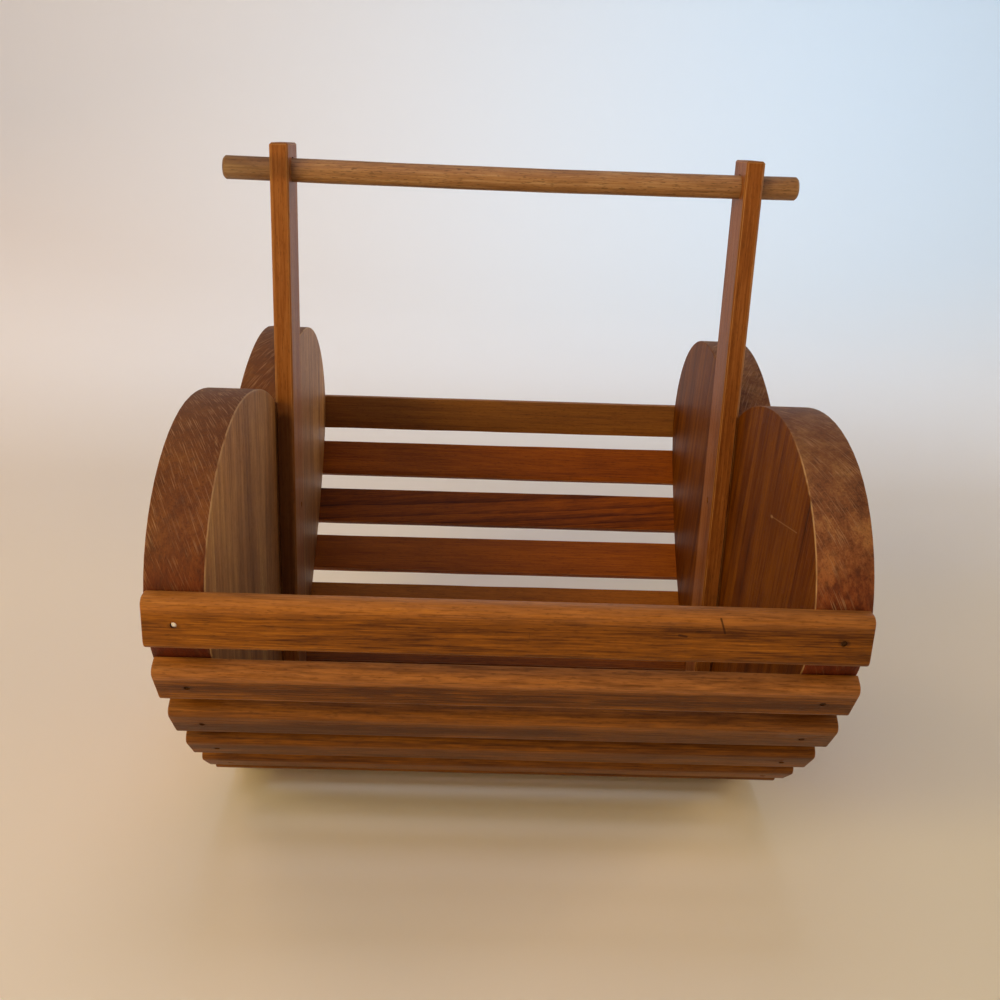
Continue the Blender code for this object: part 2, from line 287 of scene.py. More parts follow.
def merged_copy(node):
    """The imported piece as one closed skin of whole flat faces."""
    shape = bmesh.new()
    shape.from_mesh(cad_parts[node].data)
    bmesh.ops.remove_doubles(shape, verts=shape.verts[:], dist=MERGE)
    bmesh.ops.dissolve_limit(
        shape, angle_limit=FLAT_ANGLE, verts=shape.verts[:], edges=shape.edges[:]
    )
    return shape


def broad_normal(shape):
    """The direction that most of the skin's area faces, apart from along X."""
    areas = {}
    for face in shape.faces:
        if abs(face.normal.x) > 0.5:
            continue
        key = tuple(round(c, 2) for c in face.normal)
        areas[key] = areas.get(key, 0) + face.calc_area()
    return Vector(max(areas, key=areas.get)).normalized()


def ease(shape, edges, width, segments):
    """Round some edges over, and mark the new faces as worn."""
    worn = shape.faces.layers.float.get("wear") or shape.faces.layers.float.new("wear")
    made = bmesh.ops.bevel(
        shape,
        geom=edges,
        offset=width,
        affect="EDGES",
        segments=segments,
        profile=0.5,
        material=-1,
        clamp_overlap=True,
    )
    for face in made["faces"]:
        face[worn] = 1


def slice_at(shape, point, normal):
    """Cut an edge loop where a plane crosses the skin."""
    bmesh.ops.bisect_plane(
        shape,
        geom=shape.verts[:] + shape.edges[:] + shape.faces[:],
        dist=MERGE,
        plane_co=point,
        plane_no=normal,
    )


def sharp_edges(shape, low, high):
    """Edges that turn by an angle between low and high degrees."""
    low, high = math.radians(low), math.radians(high)
    return [e for e in shape.edges if low < e.calc_face_angle(0) < high]


def finish_piece(shape, node, material, board, flat_axes=(), nails=()):
    """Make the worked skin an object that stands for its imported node.

    It is smooth, apart from the flat faces that look along the axes that are given.

    Its points carry their place in the board, their offset from the nearest nail
    along and across the grain, and the piece's own traits.
    """
    for face in shape.faces:
        face.smooth = all(abs(getattr(face.normal, axis)) < SQUARE for axis in flat_axes)
    for edge in shape.edges:
        edge.smooth = edge.calc_face_angle(0) < SHARP_ANGLE
    mesh = bpy.data.meshes.new(node + "_worked")
    shape.to_mesh(mesh)
    shape.free()
    packed_normals = mesh.attributes.get("custom_normal")
    if packed_normals:
        mesh.attributes.remove(packed_normals)
    places = [board @ vertex.co for vertex in mesh.vertices]
    centres = [board @ box_centre(nail) for nail in nails]
    offsets = []
    for place in places:
        near = min((abs(place.x - c.x), place - c) for c in centres)[1] if centres else FAR
        offsets.append((near.x, near.y, 0))
    layer_points(mesh, "grain", places)
    layer_points(mesh, "nail", offsets)
    traits = TRAITS.get(node, PLAIN_TRAITS)
    layer_points(mesh, "traits", traits_along(places, *traits[:4]))
    contrast = mesh.attributes.new("contrast", "FLOAT", "POINT")
    contrast.data.foreach_set("value", [traits[4]] * len(places))
    mesh.materials.append(material)
    piece = bpy.data.objects.new(node + "_worked", mesh)
    bpy.context.scene.collection.objects.link(piece)
    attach(piece, "root")
    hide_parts(node)
    return piece


def traits_along(places, first_tone, last_tone, figure, red):
    """The traits of each point, with the tone running from one end to the other."""
    reach = max(abs(place.x) for place in places)
    traits = []
    for place in places:
        share = (place.x / reach + 1) / 2
        traits.append((first_tone + (last_tone - first_tone) * share, figure, red))
    return traits


def layer_points(mesh, name, vectors):
    """Store one vector for each point."""
    layer = mesh.attributes.new(name, "FLOAT_VECTOR", "POINT")
    for index, vector in enumerate(vectors):
        layer.data[index].vector = vector


def layer_painted_sheen(mesh, centre, across, grey, start, end, sheen_strength):
    """How far each point is into the painted highlight on the upper part of a slat's face, and how
    grey.
    """
    upward = across if across.z > 0 else -across
    rises = [(vertex.co - centre).dot(upward) for vertex in mesh.vertices]
    reach = max(abs(rise) for rise in rises)
    shares = [(rise / reach - start) / (end - start) for rise in rises]
    layer_points(mesh, "rubbed", [(share, sheen_strength, grey) for share in shares])


def board_frame(node, log_place, along, across):
    """World to board: X along the grain, Y across the face, Z through it.

    Each board has its own place in the log, so that no two look alike.
    """
    turn = Matrix((along, across, along.cross(across))).to_4x4()
    lean = Matrix.Rotation(math.radians(GRAIN_TURNS.get(node, 0)), 4, "Z")
    aside = LOG_REACH[0] * math.sin(LOG_PACE[0] * log_place)
    deep = LOG_REACH[1] * math.cos(LOG_PACE[1] * log_place)
    shift = Matrix.Translation((LOG_STEP * log_place, aside, deep))
    return shift @ lean @ turn @ Matrix.Translation(-box_centre(node))


def box_centre(node):
    low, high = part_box(node)
    return (Vector(low) + Vector(high)) / 2


# Materials


def fill(tree, node, inputs):
    """Give a node its values and links; its inputs are named, or numbered in order."""
    for socket, value in inputs.items() if isinstance(inputs, dict) else enumerate(inputs):
        if isinstance(value, bpy.types.NodeSocket):
            tree.links.new(value, node.inputs[socket])
        else:
            node.inputs[socket].default_value = value


def add(tree, kind, inputs=(), output=0, **settings):
    """Add a node with its settings, values and links, and give one of its outputs."""
    node = tree.nodes.new("ShaderNode" + kind)
    for name, value in settings.items():
        setattr(node, name, value)
    fill(tree, node, inputs)
    return node.outputs[output]


def new_material(name):
    material = bpy.data.materials.new(name)
    material.use_nodes = True
    return material, material.node_tree, material.node_tree.nodes["Principled BSDF"]


def lay_stains(tree, colour, layers):
    """Lay stains over a colour in turn, each by its share times its strength."""
    for stain, share, strength, blend in layers:
        share = add(tree, "Math", (share, strength), **TIMES)
        mix = {SHARE: share, UNDER: colour, OVER: linear(stain)}
        colour = add(tree, "Mix", mix, MIXED, data_type="RGBA", blend_type=blend)
    return colour


def parts_of(tree, name):
    """The three numbers that each point carries under a name."""
    vector = add(tree, "Attribute", output="Vector", attribute_name=name)
    return add(tree, "SeparateXYZ", (vector,)).node.outputs


def stretched_noise(tree, vector, scale, detail=2, roughness=0.5, shift=0.0):
    """Noise whose blots are drawn out by a scale for each direction, about zero."""
    sized = add(tree, "VectorMath", (vector, scale), **TIMES)
    moved = add(tree, "VectorMath", (sized, (shift, -shift, 0)))
    settings = {"Vector": moved, "Scale": 1, "Detail": detail, "Roughness": roughness}
    return add(tree, "Math", (add(tree, "TexNoise", settings, "Fac"), 0.5), **LESS)


def growth_rings(tree, grain, looks):
    """Late wood round a pith below the face."""
    squeezed = add(tree, "VectorMath", (grain, (looks.ring_stretch, 1, 1)), **TIMES)
    about = add(tree, "VectorMath", (squeezed, (0, looks.pith_across, looks.pith_depth)))
    wave = {
        "Vector": about,
        "Scale": math.tau / WAVE_RADIANS / looks.ring_spacing,
        "Distortion": looks.ring_waver,
        "Detail": 2,
        "Detail Scale": 0.16,
        "Detail Roughness": 0.5,
    }
    kind = {"wave_type": "RINGS", "rings_direction": "X", "wave_profile": "SAW"}
    rings = add(tree, "TexWave", wave, "Fac", **kind)
    return add(tree, "Math", (rings, LATE_SHARPNESS), operation="POWER")


def stain_depth(tree, grain, traits, ends, looks):
    """How pale the stain is, from zero to one, over rings, fibres and blots."""
    late = add(tree, "Math", (growth_rings(tree, grain, looks), LATE_WOOD), **LESS)
    figure = add(tree, "Math", (traits["Y"], -looks.ring_contrast), **TIMES)
    figure = add(tree, "Math", (figure, add(tree, "Math", (1.0, ends), **LESS)), **TIMES)
    value = add(tree, "Math", (late, figure, 0.5), **TIMES_PLUS)
    layers = (
        (((1 / looks.fibre_length, *FIBRE_PITCH), 3, 0.65), looks.fibre_contrast),
        (((1 / looks.streak_length, *STREAK_PITCH), 2, 0.6, 3.1), looks.streak_contrast),
        (BANDS, looks.band_contrast),
        (MOTTLE, looks.mottle_contrast),
        (BLOTCHES, looks.blotch_contrast),
    )
    strength = add(tree, "Attribute", output="Fac", attribute_name="contrast")
    for pattern, contrast in layers:
        layer = add(tree, "Math", (stretched_noise(tree, grain, *pattern), contrast), **TIMES)
        value = add(tree, "Math", (layer, strength, value), **TIMES_PLUS)
    return add(tree, "Math", (traits["X"], TONE_WEIGHT, value), **TIMES_PLUS)


def three_tones(tree, value, looks):
    """Stain from its deepest to its thinnest."""
    layers = []
    for stain, start in ((looks.middle, 0.0), (looks.pale, -1.0)):
        share = add(tree, "Math", (value, 2.0, start), use_clamp=True, **TIMES_PLUS)
        layers.append((stain, share, 1, "MIX"))
    return lay_stains(tree, linear(looks.dark), layers)


def stroke(tree, place, start, end, width):
    """One where a place lies on a short straight mark, zero off it."""
    start, along = Vector(start), Vector(end) - Vector(start)
    offset = add(tree, "VectorMath", (place, start), **LESS)
    steps = (offset, along / along.length_squared)
    share = add(tree, "VectorMath", steps, "Value", operation="DOT_PRODUCT")
    nearest = add(tree, "Math", (share, 0.0), use_clamp=True)
    foot = add(tree, "VectorMath", {0: along, "Scale": nearest}, operation="SCALE")
    gap = add(tree, "VectorMath", (offset, foot), "Value", operation="DISTANCE")
    return add(tree, "MapRange", (gap, width, width * MARK_CORE), **RISE)


def rim_shares(tree, normal, looks):
    """Where a board's rim is, how low down it is, and its place along and across."""
    sides = add(tree, "Math", (add(tree, "SeparateXYZ", (normal,)), 0.0), operation="ABSOLUTE")
    place = add(tree, "Attribute", output="Vector", attribute_name="rim")
    along = add(tree, "SeparateXYZ", (place,), "Y")
    start = looks.rim_deep_from
    return {
        "place": place,
        "share": add(tree, "MapRange", (sides, *RIM_SPAN), **RISE),
        "low": add(tree, "MapRange", (along, start, looks.rim_deep_to), **RISE),
        "down": add(tree, "MapRange", (along, start / 2, start), **RISE),
    }


def deepen_rim(tree, colour, grain, rim, red, looks):
    """The rim took more stain than the faces did, in blots on top, in streaks low down."""
    plain = add(tree, "Math", (1.0, red), **LESS)
    golden = add(tree, "Math", (rim["share"], plain), **TIMES)
    upper = add(tree, "Math", (1.0, rim["low"]), **LESS)
    blots = add(tree, "Math", (stretched_noise(tree, grain, *RIM_BLOTS), upper), **TIMES)
    streaks = (stretched_noise(tree, grain, *RIM_STREAKS), rim["low"], blots)
    uneven = add(tree, "Math", streaks, **TIMES_PLUS)
    uneven = add(tree, "MapRange", (uneven, *RIM_BLOT_SPAN), **RISE)
    uneven = add(tree, "Math", (uneven, rim["share"]), **TIMES)
    low = add(tree, "Math", (rim["low"], rim["share"]), **TIMES)
    layers = (
        (looks.rim_tint, rim["share"], 1, "MULTIPLY"),
        (looks.gold_tint, golden, 1, "MULTIPLY"),
        (looks.dark, uneven, RIM_BLOT_STRENGTH, "MIX"),
        (looks.low_tint, low, looks.rim_depth, "MULTIPLY"),
    )
    return lay_stains(tree, colour, layers)


def saw_scratches(tree, rim, looks):
    """Pale slanting scratches that a coarse belt left across a board's rim."""
    slant = {"Vector": rim["place"], "Angle": looks.scratch_slant}
    turned = add(tree, "VectorRotate", slant, rotation_type="Z_AXIS")
    lines = stretched_noise(tree, turned, *SCRATCH_LINES)
    lines = add(tree, "MapRange", (lines, *SCRATCH_SPAN), **RISE)
    patches = stretched_noise(tree, rim["place"], *SCRATCH_PATCHES)
    patches = add(tree, "Math", (rim["low"], LOW_SCRATCHES, patches), **TIMES_PLUS)
    patches = add(tree, "MapRange", (patches, *SCRATCH_PATCH_SPAN), **RISE)
    both = add(tree, "Math", (lines, patches), **TIMES)
    return add(tree, "Math", (both, rim["share"]), **TIMES)


def stained_wood(name, looks, specular, grain_axis, dark_marks=(), pale_marks=(), board=False):
    """Softwood under a satin stain: long fibres, soft bands and short dark pores.

    The stain sinks deeper into end grain and round the nails, where the darkening also
    paints the shade in each nail's hole, and it is rubbed pale along the arrises. A board's
    rim is sawn, so it is darker and scratched.
    """
    material, tree, shader = new_material(name)
    grain = add(tree, "Attribute", output="Vector", attribute_name="grain")
    traits = parts_of(tree, "traits")
    coordinates = add(tree, "TexCoord").node.outputs

    # End grain faces along the piece's own length
    length = (coordinates["Normal"], grain_axis)
    ends = add(tree, "VectorMath", length, "Value", operation="DOT_PRODUCT")
    ends = add(tree, "Math", (ends, 0.0), operation="ABSOLUTE")
    ends = add(tree, "Math", (ends, 2.0), operation="POWER")
    colour = three_tones(tree, stain_depth(tree, grain, traits, ends, looks), looks)

    # A painted highlight, broken into flecks, lies on the upper part of a slat's face, and some
    # slats are mixed towards grey
    rubbed = parts_of(tree, "rubbed")
    flecks = stretched_noise(tree, grain, *FLECKS)
    flecks = add(tree, "Math", (flecks, FLECK_CONTRAST, 1.0), **TIMES_PLUS)
    sheen_share = add(tree, "MapRange", (rubbed["X"], 0.0, 1.0), **RISE)
    sheen_share = add(tree, "Math", (sheen_share, rubbed["Y"]), **TIMES)
    sheen_share = add(tree, "Math", (sheen_share, flecks), use_clamp=True, **TIMES)
    layers = [(looks.rubbed, sheen_share, 1, "MIX"), (looks.greyed, rubbed["Z"], 1, "MIX")]
    colour = lay_stains(tree, colour, layers)

    red = traits["Z"]
    if board:
        rim = rim_shares(tree, coordinates["Normal"], looks)
        colour = deepen_rim(tree, colour, grain, rim, red, looks)
        faces = add(tree, "Math", (1.0, rim["share"]), **LESS)
        red = add(tree, "Math", (red, faces), **TIMES)
    pores = stretched_noise(tree, grain, *PORES)
    pores = add(tree, "MapRange", (pores, *PORE_SPAN), **RISE)
    # The red tint is stain that leans to red, and on the rear slats and the right board's faces it
    # also darkens and warms them as painted shade
    layers = [
        (looks.red_tint, red, 1, "MULTIPLY"),
        (looks.end, ends, looks.end_strength, "MIX"),
        (looks.pore, pores, looks.pore_strength, "MIX"),
    ]
    if board:
        layers.append((looks.scuff, saw_scratches(tree, rim, looks), looks.scratches, "MIX"))

    # Stain and rust creep along the grain from each nail, and the dark ring round each head also
    # paints the shade in the nail's hole
    nail = add(tree, "Attribute", output="Vector", attribute_name="nail")
    drawn = add(tree, "VectorMath", (nail, (0.6, 1, 0)), **TIMES)
    away = add(tree, "VectorMath", (drawn,), "Value", operation="LENGTH")
    creep = add(tree, "Math", (pores, PORE_CREEP, away), **TIMES_PLUS)
    around = add(tree, "MapRange", (creep, *NAIL_STAIN_AND_SHADE_SPAN), **RISE)
    layers.append((looks.pore, around, looks.nail_stain, "MIX"))

    # The arrises are rubbed bare; the redder board's are so only low down
    patchy = stretched_noise(tree, grain, *WEAR_PATCHES)
    patchy = add(tree, "MapRange", (patchy, *WEAR_SPAN), **RISE)
    worn = add(tree, "Attribute", output="Fac", attribute_name="wear")
    bare = add(tree, "Math", (worn, patchy), **TIMES)
    if board:
        high = add(tree, "Math", (1.0, rim["down"]), **LESS)
        unworn = add(tree, "Math", (traits["Z"], high), **TIMES)
        bare = add(tree, "Math", (bare, add(tree, "Math", (1.0, unworn), **LESS)), **TIMES)
    layers.append((looks.worn, bare, looks.wear, "MIX"))

    # Dark marks lay nicks, cracks, stains and painted shade in the pores' colour; pale marks lay
    # scratches
    for marks, stain in ((dark_marks, looks.pore), (pale_marks, looks.worn)):
        for start, end, width, strength in marks:
            mark = stroke(tree, coordinates["Object"], start, end, width)
            layers.append((stain, mark, strength, "MIX"))

    fibres = stretched_noise(tree, grain, *RAISED_FIBRES)
    rough = add(tree, "Math", (fibres, FIBRE_ROUGHNESS, looks.roughness), **TIMES_PLUS)
    rough = add(tree, "Math", (ends, END_ROUGHNESS, rough), use_clamp=True, **TIMES_PLUS)
    height = add(tree, "Math", (pores, PORE_DEPTH, fibres), **TIMES_PLUS)
    bump = {"Strength": 0.4, "Distance": 0.00025, "Height": height}
    surface = {
        "Base Color": lay_stains(tree, colour, layers),
        "Roughness": rough,
        "Normal": add(tree, "Bump", bump),
        "Specular IOR Level": specular,
        "Coat Weight": looks.coat,
        "Coat Roughness": 0.4,
    }
    fill(tree, shader, surface)
    return material


def wire_nail_steel(name, steel, grime, roughness, dulling):
    """Drawn steel wire with a struck head: bright, or dulled by stain."""
    material, tree, shader = new_material(name)
    place = add(tree, "TexCoord", output="Object")
    spots = add(tree, "TexNoise", {"Vector": place, "Scale": GRIME_SPOTS, "Detail": 2}, "Fac")
    surface = {
        "Base Color": lay_stains(tree, linear(steel), [(grime, spots, dulling, "MIX")]),
        "Roughness": add(tree, "Math", (spots, GRIME_ROUGHNESS, roughness), **TIMES_PLUS),
        "Metallic": 1,
    }
    fill(tree, shader, surface)
    return material


def floor_with_painted_light(name, stage):
    """Matt pale paint whose colour holds painted light: it warms towards the viewer, cools to the
    right, goes paler in a band behind the basket and dimmer at the near right, as warm lamps in
    front and a cool window on the right would light it.
    """
    material, tree, shader = new_material(name)
    place = add(tree, "TexCoord", output="Object")
    parts = add(tree, "SeparateXYZ", (place,)).node.outputs
    cloud = stretched_noise(tree, place, FLOOR_CLOUDS)
    depth = add(tree, "Math", (cloud, CLOUD_REACH, parts["Y"]), **TIMES_PLUS)
    far = stage.far_edge
    side, near_side, back, middle, beyond = (
        add(tree, "MapRange", (value, low, high), **RISE)
        for value, low, high in (
            (parts["X"], -far, far),
            (parts["X"], 0.0, far * RIGHT_REACH),
            (depth, stage.near_edge, far),
            (depth, stage.middle_from, stage.middle_to),
            (depth, far * MIDDLE_END, far * MIDDLE_FADE),
        )
    )
    painted_lights = (
        (stage.near_colour, stage.near_right_colour, near_side),
        (stage.far_left_colour, stage.far_right_colour, side),
        (stage.middle_left_colour, stage.middle_right_colour, side),
    )
    near_painted_light, far_painted_light, middle_painted_light = (
        lay_stains(tree, linear(left), [(right, share, 1, "MIX")]) for left, right, share in painted_lights
    )
    colour = near_painted_light
    middle = add(tree, "Math", (middle, beyond), **TIMES)
    for share, paint in ((back, far_painted_light), (middle, middle_painted_light)):
        mix = {SHARE: share, UNDER: colour, OVER: paint}
        colour = add(tree, "Mix", mix, MIXED, data_type="RGBA")
    surface = {"Base Color": colour, "Roughness": 0.8, "Specular IOR Level": 0.1}
    fill(tree, shader, surface)
    return material


# Settings


def hex_property(name, default, description):
    return bpy.props.StringProperty(name=name, default=default, description=description)


def factor_property(name, default, description):
    return bpy.props.FloatProperty(
        name=name, default=default, description=description, subtype="FACTOR"
    )


def length_property(name, default, description):
    return bpy.props.FloatProperty(
        name=name, default=default, description=description, unit="LENGTH", precision=5
    )


# What each stained piece has: what makes the property, its name, its value for the
# uprights and what it is
WOOD = {
    "dark": (hex_property, "Dark", "#5d2f0e", "Stain where it is deepest"),
    "middle": (hex_property, "Middle", "#905623", "Stain over most of the piece"),
    "pale": (hex_property, "Pale", "#b0763e", "Stain where it is thinnest"),
    "pore": (hex_property, "Pore", "#2e1606", "Stain held in the pores"),
    "worn": (hex_property, "Worn", "#c99a5c", "Wood rubbed bare"),
    # Colour of the painted highlight on the upper part of a slat, where its rounded edge catches
    # the light
    "rubbed": (hex_property, "Rubbed", "#d28e50", "Upper part of a slat, rubbed by hands"),
    # Grey that is mixed over a slat's colour
    "greyed": (hex_property, "Greyed", "#7a6a5e", "Stain that has gone grey"),
    "end": (hex_property, "End grain", "#5d3825", "Stain on end grain"),
    # On the rear slats and the right board's faces this tint also paints shade
    "red_tint": (hex_property, "Red tint", "#ffd860", "Laid over wood that is redder"),
    "end_strength": (factor_property, "End grain strength", 0.5, "How dark the ends are"),
    "pore_strength": (factor_property, "Pores", 0.25, "How dark the pores are"),
    "nail_stain": (factor_property, "Nail stain", 0.35, "How dark the wood is round a nail"),
    "wear": (factor_property, "Wear", 0.4, "How bare the arrises are"),
    "fibre_length": (length_property, "Fibre length", 0.017, "Length of the fine fibres"),
    "fibre_contrast": (factor_property, "Fibre contrast", 0.7, "How much the fibres show"),
    "streak_length": (length_property, "Streak length", 0.03, "Length of the streaks"),
    "streak_contrast": (factor_property, "Streak contrast", 0.35, "How much the streaks show"),
    "band_contrast": (factor_property, "Band contrast", 0.5, "How much the broad bands show"),
    "mottle_contrast": (factor_property, "Mottle contrast", 0.16, "How mottled the stain is"),
    "blotch_contrast": (factor_property, "Blotch contrast", 0.3, "How unevenly it was stained"),
    "ring_contrast": (factor_property, "Ring contrast", 0.15, "How dark the late wood is"),
    "ring_spacing": (length_property, "Ring spacing", 0.0017, "One year's growth"),
    "ring_stretch": (factor_property, "Ring stretch", 0.12, "How fast a ring wanders along"),
    "ring_waver": (factor_property, "Ring waver", 5, "How unevenly the rings run"),
    "pith_across": (length_property, "Pith across", 0.012, "How far the pith is to the side"),
    "pith_depth": (length_property, "Pith depth", 0.05, "How far the pith is below the face"),
    "roughness": (factor_property, "Roughness", 0.45, "How dull the stain is"),
    "specular": (factor_property, "Specular", 0.13, "How strongly the face reflects"),
    "coat": (factor_property, "Coat", 0.05, "How much varnish lies on it"),
}


def wood_looks(**values):
    """The properties of a kind of stained piece, with its own values."""
    return {
        key: make(name, values.get(key, value), description)
        for key, (make, name, value, description) in WOOD.items()
    }


class PanelLooks(bpy.types.PropertyGroup):
    """The two heart-shaped boards."""

    __annotations__ = wood_looks(
        dark="#624029",
        middle="#aa7b4c",
        pale="#dab373",
        pore="#3a1c0c",
        worn="#c4a377",
        red_tint="#9c7217",
        end_strength=0.75,
        pore_strength=0.35,
        wear=0.6,
        fibre_length=0.03,
        fibre_contrast=0.75,
        streak_length=0.07,
        streak_contrast=0.6,
        band_contrast=0.9,
        mottle_contrast=0.25,
        blotch_contrast=0.6,
        ring_contrast=0.1,
        roughness=0.5,
        specular=0.22,
        coat=0,
    )
    matt_specular: factor_property("Matt specular", 0.088, "How strongly the redder board reflects")
    rim_tint: hex_property("Rim tint", "#e5d1c6", "Laid over the rims")
    low_tint: hex_property("Low tint", "#a8673c", "Laid over the lowest part of the rims")
    gold_tint: hex_property("Gold tint", "#d7c697", "Laid over the rim of the board that isn't red")
    scuff: hex_property("Scuff", "#a8825f", "Scratched wood")
    scratches: factor_property("Scratches", 0.6, "How pale the scratches on the rim are")
    scratch_slant: bpy.props.FloatProperty(
        name="Scratch slant",
        default=math.radians(24),
        subtype="ANGLE",
        description="How far the scratches lean",
    )
    rim_depth: factor_property("Rim depth", 1.0, "How much deeper the stain is low on the rims")
    rim_deep_from: length_property("Rim deep from", 0.045, "Where the rim starts to deepen")
    rim_deep_to: length_property("Rim deep to", 0.11, "Where the rim is deepest")


class SlatLooks(bpy.types.PropertyGroup):
    """The slats round the hearts."""

    __annotations__ = wood_looks(
        dark="#4f2a09",
        middle="#875111",
        pale="#b07220",
        worn="#b98a55",
        pore_strength=0.3,
        wear=0.3,
        fibre_contrast=1.05,
        streak_contrast=0.4,
        blotch_contrast=0.4,
        ring_contrast=0.16,
        roughness=0.48,
        specular=0.15,
        coat=0,
    )


class UprightLooks(bpy.types.PropertyGroup):
    """The two uprights."""

    __annotations__ = wood_looks()


class DowelLooks(bpy.types.PropertyGroup):
    """The dowel, of a paler wood."""

    __annotations__ = wood_looks(
        dark="#6a4628",
        middle="#a67b4f",
        pale="#cbab7f",
        pore_strength=0.5,
        fibre_contrast=0.5,
        streak_contrast=0.5,
        band_contrast=0.25,
        specular=0.4,
    )


class NailLooks(bpy.types.PropertyGroup):
    """The nails' heads."""

    bright: hex_property("Bright", "#fbf9f4", "Steel of the head that is still bright")
    dull: hex_property("Dull", "#5e3d22", "Steel under stain")
    grime: hex_property("Grime", "#2e2620", "Dirt on the steel")


class WorkSettings(bpy.types.PropertyGroup):
    """How the pieces were worked."""

    panel_easing: length_property("Panel easing", 0.0004, "Rounding of the rims")
    slat_easing: length_property("Slat easing", 0.00035, "Rounding of slat ends")
    upright_easing: length_property("Upright easing", 0.0002, "Softening of arrises")
    seat: length_property("Seat", 0.00022, "How far a nail draws a piece onto a panel")
    waver: length_property("Waver", 0.00018, "How far an edge wanders")
    waver_length: length_property("Waver length", 0.03, "How slowly it wanders")
    stations: bpy.props.IntProperty(
        name="Stations", default=22, min=2, description="Cuts along a slat that let it wander"
    )
    nail_dome: length_property("Nail dome", 0.00018, "How far a nail head swells")
    nail_gap: length_property("Nail gap", 0.00003, "Air round a nail head")
    lobe_drop: length_property("Lobe drop", 0.001, "How much lower the front lobes were sawn")
    left_swell: length_property("Left swell", 0.0007, "How much thicker the left board is")
    right_shoulder: length_property("Right shoulder", 0.001, "How much fuller the right lobe is")
    dowel_sag: length_property("Dowel sag", 0.00055, "How far the dowel bows down")


class StageSettings(bpy.types.PropertyGroup):
    """The floor, the lights and the camera."""

    floor_radius: length_property("Floor radius", 0.8, "Flat part of the floor")
    sweep_radius: length_property("Sweep radius", 1.6, "Curve up to the wall")
    wall_height: length_property("Wall height", 2.4, "Top of the wall")
    # The floor's colours below paint light into it: warm lamp light in front, cool window light to
    # the right and a paler band behind the basket
    near_edge: length_property("Near edge", -0.3, "Where the floor starts to cool")
    far_edge: length_property("Far edge", 0.9, "Where the floor has cooled")
    middle_from: length_property("Middle from", 0.15, "Where the paler middle starts")
    middle_to: length_property("Middle to", 0.5, "Where the paler middle is full")
    near_colour: hex_property("Near colour", "#f9f7f4", "Pale paint by the viewer")
    near_right_colour: hex_property("Near right colour", "#f0ecd9", "The same, on the right")
    middle_left_colour: hex_property("Middle left colour", "#fffdff", "Pale paint behind, left")
    middle_right_colour: hex_property("Middle right colour", "#e6f1ff", "Pale paint behind, right")
    far_left_colour: hex_property("Far left colour", "#f3e9e3", "Pale paint at the back, left")
    far_right_colour: hex_property("Far right colour", "#d9ebfd", "Pale paint at the back, right")
    lens: bpy.props.FloatProperty(
        name="Lens", default=38.72, unit="CAMERA", description="Focal length in millimetres"
    )


SETTINGS = {
    "basket_panel_looks": PanelLooks,
    "basket_slat_looks": SlatLooks,
    "basket_upright_looks": UprightLooks,
    "basket_dowel_looks": DowelLooks,
    "basket_nail_looks": NailLooks,
    "basket_work": WorkSettings,
    "basket_stage": StageSettings,
}


# Pieces


class BASKET_OT_panels(bpy.types.Operator):
    """Work the heart-shaped boards: ease their rims and lay their grain upright"""

    bl_idname = "basket.panels"
    bl_label = "Heart Panels"

    def execute(self, context):
        scene = context.scene
        looks = scene.basket_panel_looks
        marks = (PANEL_CREASE_SHADOWS, PANEL_SCRATCHES)

        # Planed pine boards have broad gold and brown bands and shine softly; the
        # redder one has soaked up its stain, so that its faces hardly shine
        satin = stained_wood("satin_pine_board", looks, looks.specular, UP, *marks, board=True)
        matt = stained_wood("matt_pine_board", looks, looks.matt_specular, UP, *marks, board=True)

        for index, side in enumerate(SIDES):
            node = "panel_" + side
            shape = merged_copy(node)
            ease(shape, rim_edges(shape), scene.basket_work.panel_easing, 3)
            spare_outer_arris(shape)
            lower_front_lobe(shape, scene.basket_work.lobe_drop)
            if side == "left":
                thicken(shape, scene.basket_work.left_swell)
            else:
                fill_shoulder(shape, scene.basket_work.right_shoulder)
            board = board_frame(node, PANEL_LOG + index, UP, BACK)
            rims = [rim_place(v.co) for v in shape.verts]
            wood = satin if side == "left" else matt
            piece = finish_piece(shape, node, wood, board, "x")
            layer_points(piece.data, "rim", rims)
            if side == "right":
                keep_rim_satin(piece.data, satin)
        return {"FINISHED"}


def keep_rim_satin(mesh, satin):
    """The redder board is matt on its faces only."""
    mesh.materials.append(satin)
    for face in mesh.polygons:
        if abs(face.normal.x) < RIM_FACING:
            face.material_index = 1


def spare_outer_arris(shape):
    """Only the arris round the inner face was rubbed pale."""
    worn = shape.faces.layers.float["wear"]
    middle = sum(abs(v.co.x) for v in shape.verts) / len(shape.verts)
    for face in shape.faces:
        if abs(face.calc_center_median().x) > middle:
            face[worn] = 0


def lower_front_lobe(shape, drop):
    """The front lobe was sawn a little lower than the rear one."""
    for vertex in shape.verts:
        height = (vertex.co.z - HEART_WAIST) / (HEART_TOP - HEART_WAIST)
        if height > 0 and vertex.co.y < 0:
            forward = min(1, 3 * -vertex.co.y / HEART_REACH)
            vertex.co.z -= drop * height * forward


def outer_shares(shape):
    """Each point with its share: zero on a board's inner face, one on its outer face."""
    low = min(abs(v.co.x) for v in shape.verts)
    high = max(abs(v.co.x) for v in shape.verts)
    return [(v, (abs(v.co.x) - low) / (high - low)) for v in shape.verts]


def thicken(shape, swell):
    """The left board's front lobe is a little thicker than the right one's."""
    for vertex, share in outer_shares(shape):
        front = min(1, max(0, 0.5 - 2 * vertex.co.y / HEART_REACH))
        vertex.co.x += math.copysign(share * front * swell, vertex.co.x)


